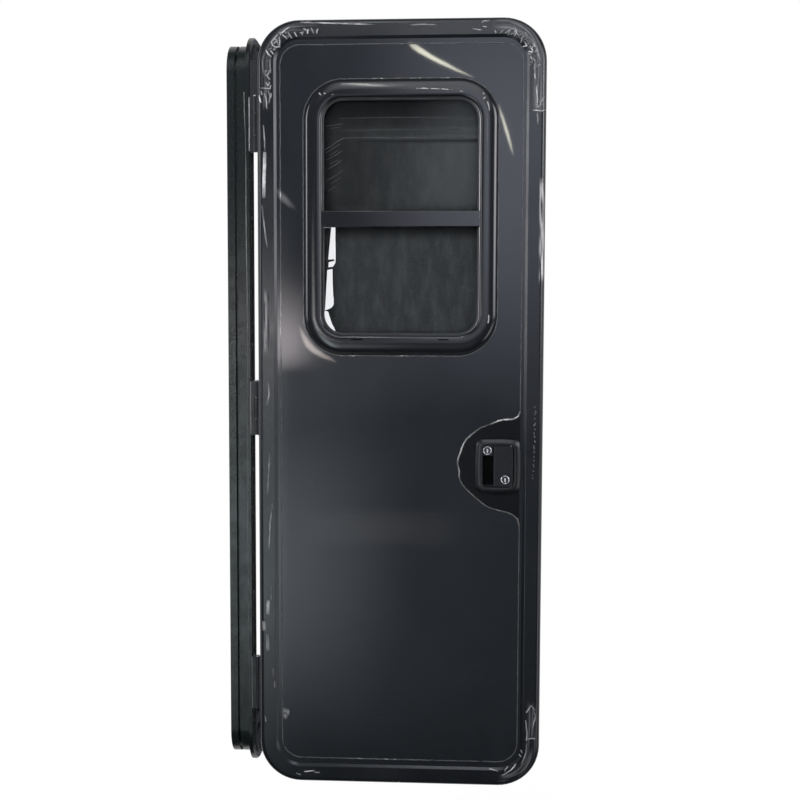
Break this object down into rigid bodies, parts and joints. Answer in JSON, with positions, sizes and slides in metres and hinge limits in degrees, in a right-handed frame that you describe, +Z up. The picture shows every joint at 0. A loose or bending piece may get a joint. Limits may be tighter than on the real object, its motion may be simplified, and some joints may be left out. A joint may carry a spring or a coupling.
{
  "type": "caravan entry door",
  "caption": "Black caravan entry door: a flanged wall frame with a hinged sandwich leaf, a framed window with an insect screen and a sunk pull latch with key locks.",
  "frame": {"origin": "on the back of the frame's flange, the face that lies on the outside of the wall, midway along the sill", "axes": "+Z up, +Y into the vehicle, +X from the hinge side to the lock side as seen from outside"},
  "size_m": [0.7013, 0.7505, 1.796],
  "materials": {
    "frame_coat": "satin black powder coat",
    "trim_coat": "semi-gloss black coat under film",
    "skin_coat": "semi-gloss black coat under film",
    "inner_skin_coat": "satin black coat",
    "core_foam": "rigid foam",
    "hinge_coat": "satin black coat",
    "plain_steel": "zinc plated",
    "seal_rubber": "matt black rubber",
    "window_plastic": "satin black moulding",
    "pane_glass": "dark tinted sheet",
    "screen_mesh": "dark woven insect mesh",
    "latch_plastic": "satin black moulding",
    "lock_chrome": "chromed"
  },
  "bodies": {
    "frame": {"frame_head": "frame_coat", "frame_hinge_jamb": "frame_coat", "frame_lock_jamb": "frame_coat", "frame_sill": "frame_coat", "frame_seal": "seal_rubber", "strike_plate": "plain_steel", "hinge_plate_top": "hinge_coat", "hinge_plate_middle": "hinge_coat", "hinge_plate_bottom": "hinge_coat", "hinge_pin_top": "plain_steel", "hinge_pin_middle": "plain_steel", "hinge_pin_bottom": "plain_steel"},
    "leaf": {"edge_trim": "trim_coat", "outer_skin": "skin_coat", "panel_core": "core_foam", "inner_skin": "inner_skin_coat", "window_outer_frame": "window_plastic", "window_inner_frame": "window_plastic", "upper_pane": "pane_glass", "lower_pane": "pane_glass", "meeting_rail": "window_plastic", "insect_screen": "screen_mesh", "hinge_strap_top": "hinge_coat", "hinge_strap_middle": "hinge_coat", "hinge_strap_bottom": "hinge_coat", "latch_bezel": "latch_plastic", "paddle_pin": "plain_steel", "upper_lock_collar": "lock_chrome", "inner_latch_case": "latch_plastic", "latch_bolt": "plain_steel", "inner_release_lever": "latch_plastic"},
    "paddle": {"latch_paddle": "latch_plastic", "lower_lock_collar": "lock_chrome"},
    "upper_key": {"upper_key_plug": "lock_chrome"},
    "lower_key": {"lower_key_plug": "lock_chrome"}
  },
  "joints": [
    {"name": "door_swing", "type": "hinge", "parent": "frame", "child": "leaf", "pos_m": [-0.342, -0.0265, 0.878], "axis": [0, 0, -1], "range_deg": [-90, 80]},
    {"name": "paddle_pull", "type": "hinge", "parent": "leaf", "child": "paddle", "pos_m": [-0.3685, -0.6285, 0.747], "axis": [0, 0, 1], "range_deg": [0, 30], "stiffness_Nm_per_rad": 0.5},
    {"name": "upper_key_turn", "type": "hinge", "parent": "leaf", "child": "upper_key", "pos_m": [-0.3695, -0.5735, 0.7835], "axis": [-1, 0, 0], "range_deg": [0, 90]},
    {"name": "lower_key_turn", "type": "hinge", "parent": "paddle", "child": "lower_key", "pos_m": [-0.372, -0.615, 0.7155], "axis": [-1, 0, 0], "range_deg": [0, 90]}
  ]
}
